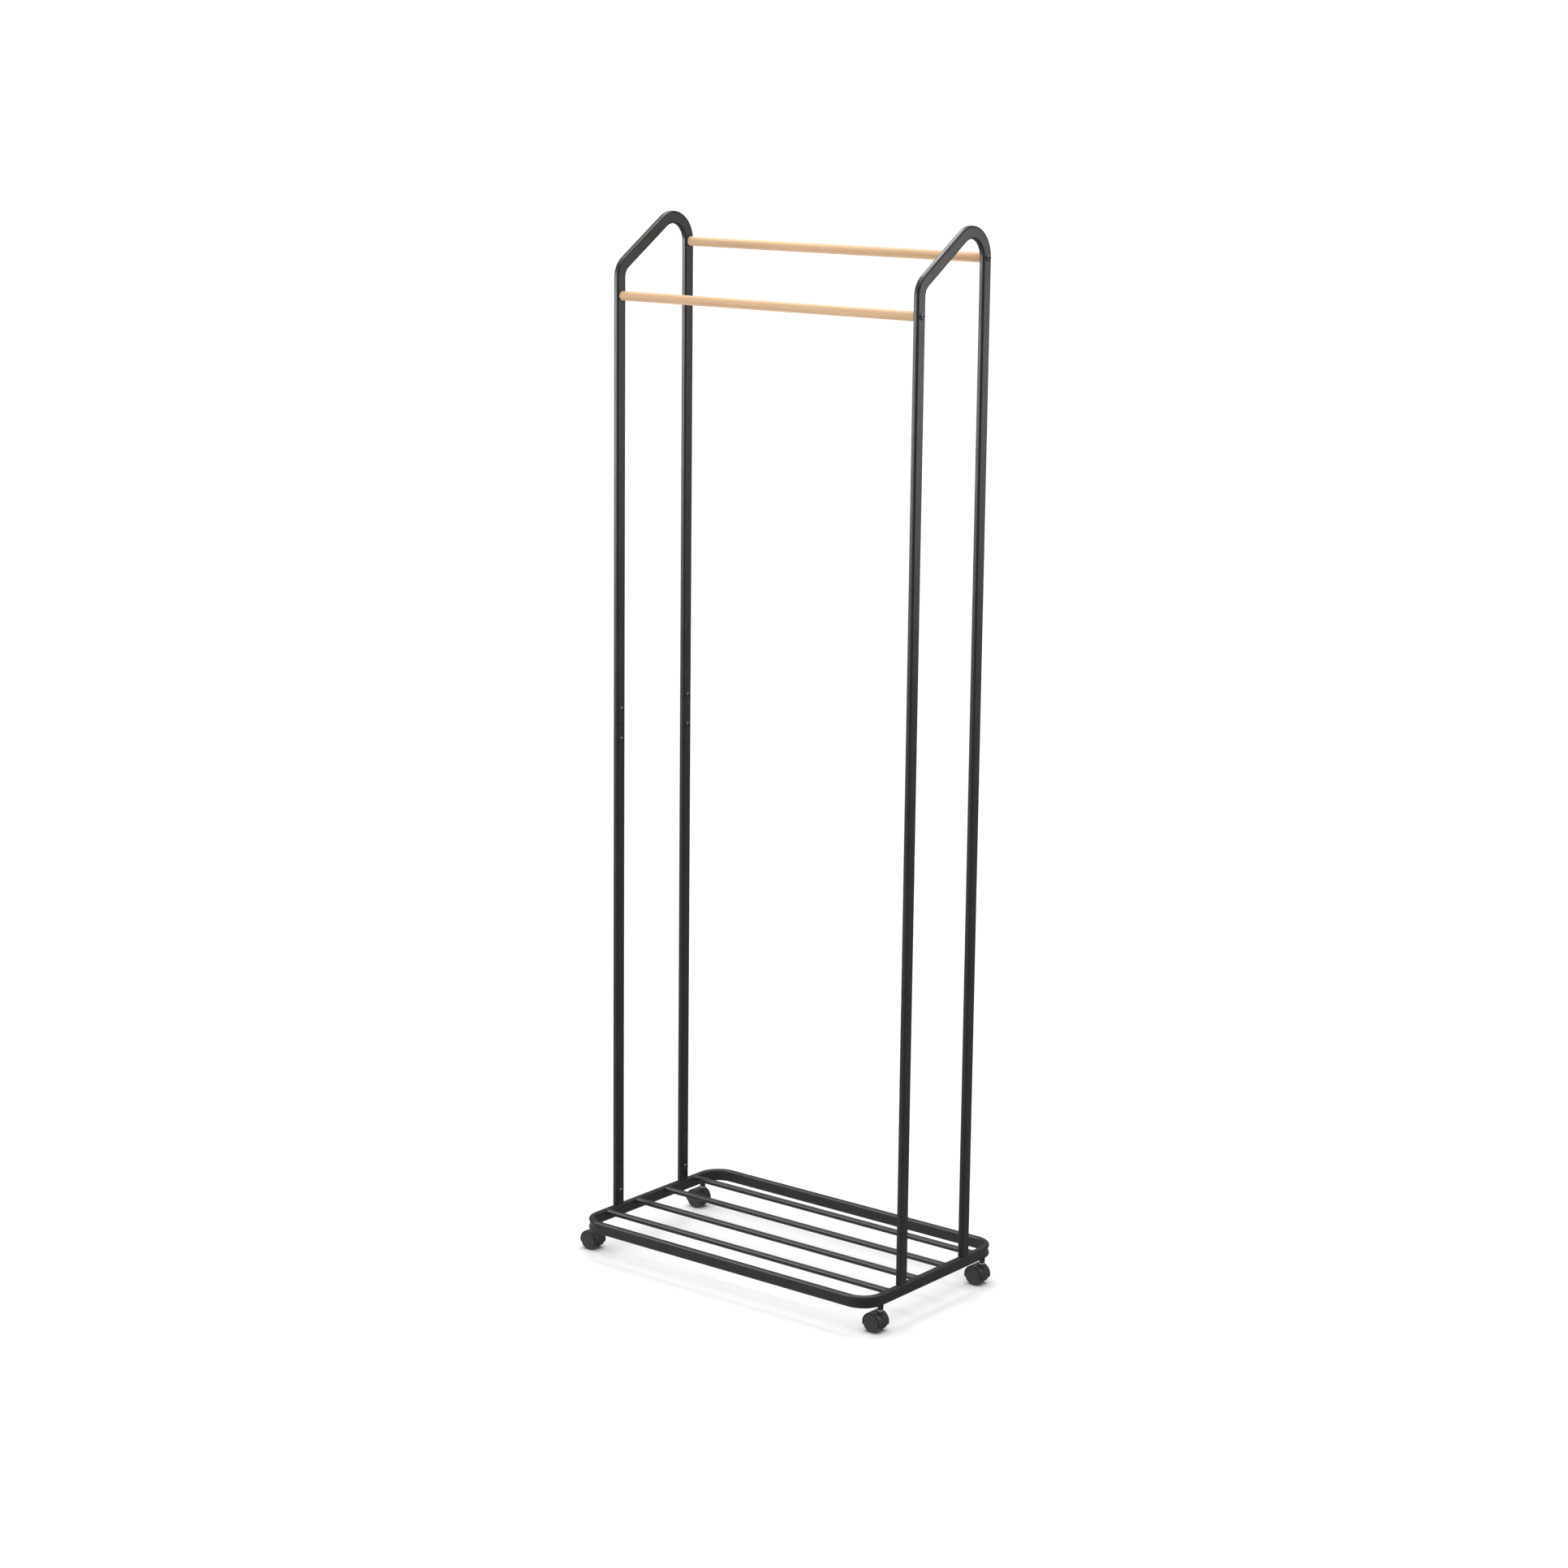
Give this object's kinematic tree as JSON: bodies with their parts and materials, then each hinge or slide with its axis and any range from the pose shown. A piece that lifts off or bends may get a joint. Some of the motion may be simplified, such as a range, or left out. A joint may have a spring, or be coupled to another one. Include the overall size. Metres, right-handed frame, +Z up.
{
  "type": "rolling clothes rack",
  "caption": "Slim rolling clothes rack with two bent black steel side frames, two round wooden hanging rails, a low rod shelf and swivel casters.",
  "frame": {"origin": "on the floor under the middle of the base", "axes": "+X along the rack's length towards the right side frame, +Y towards the taller back posts, +Z up"},
  "size_m": [0.6241, 0.356, 1.7108],
  "materials": {
    "steel": "satin black powder coat",
    "bare_steel": "plain",
    "bolt_steel": "black",
    "plated_steel": "zinc plated",
    "wood": "light natural",
    "hood_plastic": "fine grain",
    "wheel_plastic": "smooth"
  },
  "bodies": {
    "rack": {"base_frame": "steel", "shelf_rod_1": "steel", "shelf_rod_2": "steel", "shelf_rod_3": "steel", "shelf_rod_4": "steel", "left_upper_frame": "steel", "left_front_lower_post": "steel", "left_front_joiner": "bare_steel", "left_front_rail_bolt": "bolt_steel", "left_front_upper_joint_bolt": "bolt_steel", "left_front_lower_joint_bolt": "bolt_steel", "left_front_leg_bolt": "bolt_steel", "left_rear_lower_post": "steel", "left_rear_joiner": "bare_steel", "left_rear_rail_bolt": "bolt_steel", "left_rear_upper_joint_bolt": "bolt_steel", "left_rear_lower_joint_bolt": "bolt_steel", "left_rear_leg_bolt": "bolt_steel", "right_upper_frame": "steel", "right_front_lower_post": "steel", "right_front_joiner": "bare_steel", "right_front_rail_bolt": "bolt_steel", "right_front_upper_joint_bolt": "bolt_steel", "right_front_lower_joint_bolt": "bolt_steel", "right_front_leg_bolt": "bolt_steel", "right_rear_lower_post": "steel", "right_rear_joiner": "bare_steel", "right_rear_rail_bolt": "bolt_steel", "right_rear_upper_joint_bolt": "bolt_steel", "right_rear_lower_joint_bolt": "bolt_steel", "right_rear_leg_bolt": "bolt_steel", "front_rail": "wood", "rear_rail": "wood", "left_front_caster_bush": "steel", "left_rear_caster_bush": "steel", "right_front_caster_bush": "steel", "right_rear_caster_bush": "steel"},
    "left_front_caster": {"left_front_caster_stem": "plated_steel", "left_front_caster_hood": "hood_plastic", "left_front_caster_axle": "plated_steel"},
    "left_front_caster_front_roller": {"left_front_caster_front_wheel": "wheel_plastic"},
    "left_front_caster_rear_roller": {"left_front_caster_rear_wheel": "wheel_plastic"},
    "left_rear_caster": {"left_rear_caster_stem": "plated_steel", "left_rear_caster_hood": "hood_plastic", "left_rear_caster_axle": "plated_steel"},
    "left_rear_caster_front_roller": {"left_rear_caster_front_wheel": "wheel_plastic"},
    "left_rear_caster_rear_roller": {"left_rear_caster_rear_wheel": "wheel_plastic"},
    "right_front_caster": {"right_front_caster_stem": "plated_steel", "right_front_caster_hood": "hood_plastic", "right_front_caster_axle": "plated_steel"},
    "right_front_caster_front_roller": {"right_front_caster_front_wheel": "wheel_plastic"},
    "right_front_caster_rear_roller": {"right_front_caster_rear_wheel": "wheel_plastic"},
    "right_rear_caster": {"right_rear_caster_stem": "plated_steel", "right_rear_caster_hood": "hood_plastic", "right_rear_caster_axle": "plated_steel"},
    "right_rear_caster_front_roller": {"right_rear_caster_front_wheel": "wheel_plastic"},
    "right_rear_caster_rear_roller": {"right_rear_caster_rear_wheel": "wheel_plastic"}
  },
  "joints": [
    {"name": "left_front_caster_swivel", "type": "hinge", "parent": "rack", "child": "left_front_caster", "pos_m": [-0.295, -0.138, 0.044], "axis": [0, 0, 1], "continuous": true},
    {"name": "left_front_caster_front_wheel_spin", "type": "hinge", "parent": "left_front_caster", "child": "left_front_caster_front_roller", "pos_m": [-0.304, -0.138, 0.0155], "axis": [0, 1, 0], "continuous": true},
    {"name": "left_front_caster_rear_wheel_spin", "type": "hinge", "parent": "left_front_caster", "child": "left_front_caster_rear_roller", "pos_m": [-0.304, -0.138, 0.0155], "axis": [0, 1, 0], "continuous": true},
    {"name": "left_rear_caster_swivel", "type": "hinge", "parent": "rack", "child": "left_rear_caster", "pos_m": [-0.295, 0.138, 0.044], "axis": [0, 0, 1], "continuous": true},
    {"name": "left_rear_caster_front_wheel_spin", "type": "hinge", "parent": "left_rear_caster", "child": "left_rear_caster_front_roller", "pos_m": [-0.304, 0.138, 0.0155], "axis": [0, 1, 0], "continuous": true},
    {"name": "left_rear_caster_rear_wheel_spin", "type": "hinge", "parent": "left_rear_caster", "child": "left_rear_caster_rear_roller", "pos_m": [-0.304, 0.138, 0.0155], "axis": [0, 1, 0], "continuous": true},
    {"name": "right_front_caster_swivel", "type": "hinge", "parent": "rack", "child": "right_front_caster", "pos_m": [0.295, -0.138, 0.044], "axis": [0, 0, 1], "continuous": true},
    {"name": "right_front_caster_front_wheel_spin", "type": "hinge", "parent": "right_front_caster", "child": "right_front_caster_front_roller", "pos_m": [0.286, -0.138, 0.0155], "axis": [0, 1, 0], "continuous": true},
    {"name": "right_front_caster_rear_wheel_spin", "type": "hinge", "parent": "right_front_caster", "child": "right_front_caster_rear_roller", "pos_m": [0.286, -0.138, 0.0155], "axis": [0, 1, 0], "continuous": true},
    {"name": "right_rear_caster_swivel", "type": "hinge", "parent": "rack", "child": "right_rear_caster", "pos_m": [0.295, 0.138, 0.044], "axis": [0, 0, 1], "continuous": true},
    {"name": "right_rear_caster_front_wheel_spin", "type": "hinge", "parent": "right_rear_caster", "child": "right_rear_caster_front_roller", "pos_m": [0.286, 0.138, 0.0155], "axis": [0, 1, 0], "continuous": true},
    {"name": "right_rear_caster_rear_wheel_spin", "type": "hinge", "parent": "right_rear_caster", "child": "right_rear_caster_rear_roller", "pos_m": [0.286, 0.138, 0.0155], "axis": [0, 1, 0], "continuous": true}
  ]
}
